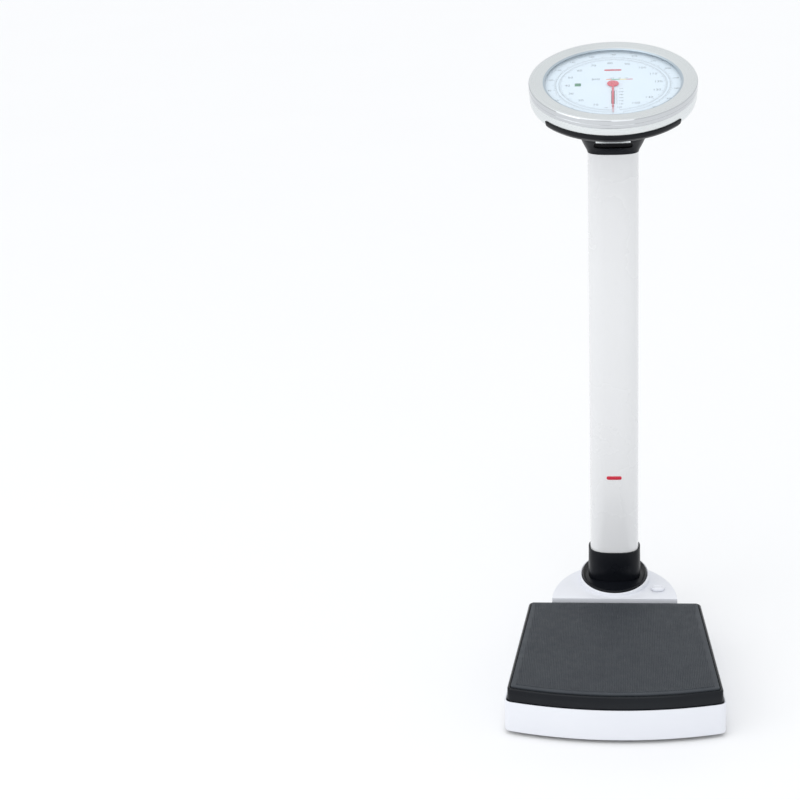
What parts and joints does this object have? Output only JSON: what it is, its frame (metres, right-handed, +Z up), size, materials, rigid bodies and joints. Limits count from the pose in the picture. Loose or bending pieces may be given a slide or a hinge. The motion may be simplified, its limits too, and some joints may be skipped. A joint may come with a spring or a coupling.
{
  "type": "mechanical dial column scale",
  "caption": "Waist-high mechanical weighing scale: ribbed platform on a white base, oval column, and a tilted round dial with a red pointer and a body-mass window.",
  "frame": {"origin": "centre of the bounding box in plan, on the floor under the feet", "axes": "+Z up, the user stands at -Y and faces +Y, +X to the user's right"},
  "size_m": [0.3366, 0.5219, 0.975],
  "materials": {
    "white_housing": "moulded, satin gloss",
    "zero_knob": "moulded, satin gloss",
    "black_plastic": "fine grained",
    "black_tray": "pressed steel, satin black enamel",
    "ribbed_rubber": "fine ribs running front to back",
    "column_paint": "smooth gloss enamel",
    "satin_silver": "satin silver with a polished rim",
    "lens": "clear flat glass",
    "gasket": "plain",
    "dial_enamel": "printed enamel",
    "bmi_disc": "printed in colour bands",
    "pointer_red": "red enamel",
    "foot_rubber": "plain",
    "brass": "machined",
    "spring_steel": "oiled wire",
    "zinc_steel": "zinc plated"
  },
  "bodies": {
    "base": {"base_housing": "white_housing", "bottom_plate": "zinc_steel", "rear_cover": "white_housing", "flange_ring": "black_plastic", "column_collar": "black_plastic", "column_socket": "zinc_steel", "column_tube": "column_paint", "neck": "black_plastic", "head_casing": "satin_silver", "grip_crescent": "black_plastic", "bezel": "satin_silver", "lens": "lens", "lens_gasket": "gasket", "dial_plate": "dial_enamel", "gear_frame": "zinc_steel", "shaft_bush": "brass", "crank_bracket": "zinc_steel", "crank_pin": "zinc_steel", "rack_guide": "zinc_steel", "head_screw_left": "zinc_steel", "head_screw_front": "zinc_steel", "head_screw_right": "zinc_steel", "zero_arm_post": "zinc_steel", "main_spring": "spring_steel", "front_fulcrum_stand_left": "zinc_steel", "front_fulcrum_stand_right": "zinc_steel", "rear_fulcrum_stand_left": "zinc_steel", "rear_fulcrum_stand_right": "zinc_steel"},
    "platform": {"platform_tray": "black_tray", "platform_mat": "ribbed_rubber", "platform_bearing_front_left": "zinc_steel", "platform_bearing_front_right": "zinc_steel", "platform_bearing_rear_left": "zinc_steel", "platform_bearing_rear_right": "zinc_steel"},
    "long_lever": {"long_lever": "zinc_steel", "long_lever_fulcrum_edge": "zinc_steel", "lever_link": "zinc_steel", "long_lever_load_edge_left": "zinc_steel", "long_lever_load_edge_right": "zinc_steel"},
    "short_lever": {"short_lever": "zinc_steel", "short_lever_fulcrum_edge": "zinc_steel", "short_lever_load_edge_left": "zinc_steel", "short_lever_load_edge_right": "zinc_steel"},
    "draw_rod": {"draw_rod": "zinc_steel", "draw_rod_nut": "zinc_steel"},
    "bell_crank": {"bell_crank": "brass"},
    "rack": {"drive_rack": "brass"},
    "pointer": {"pointer": "pointer_red", "pointer_shaft": "zinc_steel", "drive_pinion": "brass", "bmi_disc": "bmi_disc"},
    "zero_knob": {"zero_knob": "zero_knob", "zero_screw": "zinc_steel"},
    "zero_arm": {"zero_arm": "zinc_steel"},
    "foot_front_left": {"levelling_foot_front_left": "foot_rubber"},
    "foot_front_right": {"levelling_foot_front_right": "foot_rubber"},
    "foot_rear_left": {"levelling_foot_rear_left": "foot_rubber"},
    "foot_rear_right": {"levelling_foot_rear_right": "foot_rubber"}
  },
  "joints": [
    {"name": "platform_travel", "type": "slide", "parent": "base", "child": "platform", "axis": [0, 0, -1], "range_m": [0, 0.002], "stiffness_N_per_m": 785000, "springref_m": -0.0001},
    {"name": "pointer_turn", "type": "hinge", "parent": "base", "child": "pointer", "pos_m": [0, 0.13, 0.93687], "axis": [0, 0.2823, -0.9593], "range_deg": [0, 352.8]},
    {"name": "long_lever_tilt", "type": "hinge", "parent": "base", "child": "long_lever", "pos_m": [0, -0.2, 0.0242], "axis": [-1, 0, 0], "range_deg": [0, 2.25], "deforming": ["main_spring"]},
    {"name": "short_lever_tilt", "type": "hinge", "parent": "base", "child": "short_lever", "pos_m": [0, 0.052, 0.0402], "axis": [1, 0, 0], "range_deg": [0, 2.25]},
    {"name": "draw_rod_travel", "type": "slide", "parent": "base", "child": "draw_rod", "axis": [0, 0, -1], "range_m": [0, 0.0142]},
    {"name": "bell_crank_turn", "type": "hinge", "parent": "base", "child": "bell_crank", "pos_m": [0, 0.1771, 0.89437], "axis": [1, 0, 0], "range_deg": [0, 46.5]},
    {"name": "rack_travel", "type": "slide", "parent": "base", "child": "rack", "axis": [0, -0.9593, -0.2823], "range_m": [0, 0.0202]},
    {"name": "zero_knob_turn", "type": "hinge", "parent": "base", "child": "zero_knob", "pos_m": [0.072, 0.11655, 0.08109], "axis": [0, 0.08, 0.9968], "range_deg": [-360, 360]},
    {"name": "zero_arm_tilt", "type": "hinge", "parent": "base", "child": "zero_arm", "pos_m": [0.036, 0.1105, 0.0715], "axis": [0, 1, 0], "range_deg": [-1.2, 1.2]},
    {"name": "foot_turn_front_left", "type": "hinge", "parent": "base", "child": "foot_front_left", "pos_m": [-0.135, -0.21, 0.003], "axis": [0, 0, 1], "range_deg": [-360, 360]},
    {"name": "foot_turn_front_right", "type": "hinge", "parent": "base", "child": "foot_front_right", "pos_m": [0.135, -0.21, 0.003], "axis": [0, 0, 1], "range_deg": [-360, 360]},
    {"name": "foot_turn_rear_left", "type": "hinge", "parent": "base", "child": "foot_rear_left", "pos_m": [-0.066, 0.17, 0.003], "axis": [0, 0, 1], "range_deg": [-360, 360]},
    {"name": "foot_turn_rear_right", "type": "hinge", "parent": "base", "child": "foot_rear_right", "pos_m": [0.066, 0.17, 0.003], "axis": [0, 0, 1], "range_deg": [-360, 360]}
  ],
  "couplings": [
    {"joint": "pointer_turn", "follows": "platform_travel", "rad_per_m": 3077.9},
    {"joint": "long_lever_tilt", "follows": "platform_travel", "rad_per_m": 19.38},
    {"joint": "short_lever_tilt", "follows": "platform_travel", "rad_per_m": 19.38},
    {"joint": "draw_rod_travel", "follows": "platform_travel", "ratio": 6.9961},
    {"joint": "bell_crank_turn", "follows": "platform_travel", "rad_per_m": 399.78},
    {"joint": "rack_travel", "follows": "platform_travel", "ratio": 10.003},
    {"joint": "zero_arm_tilt", "follows": "zero_knob_turn", "ratio": -0.003183}
  ]
}
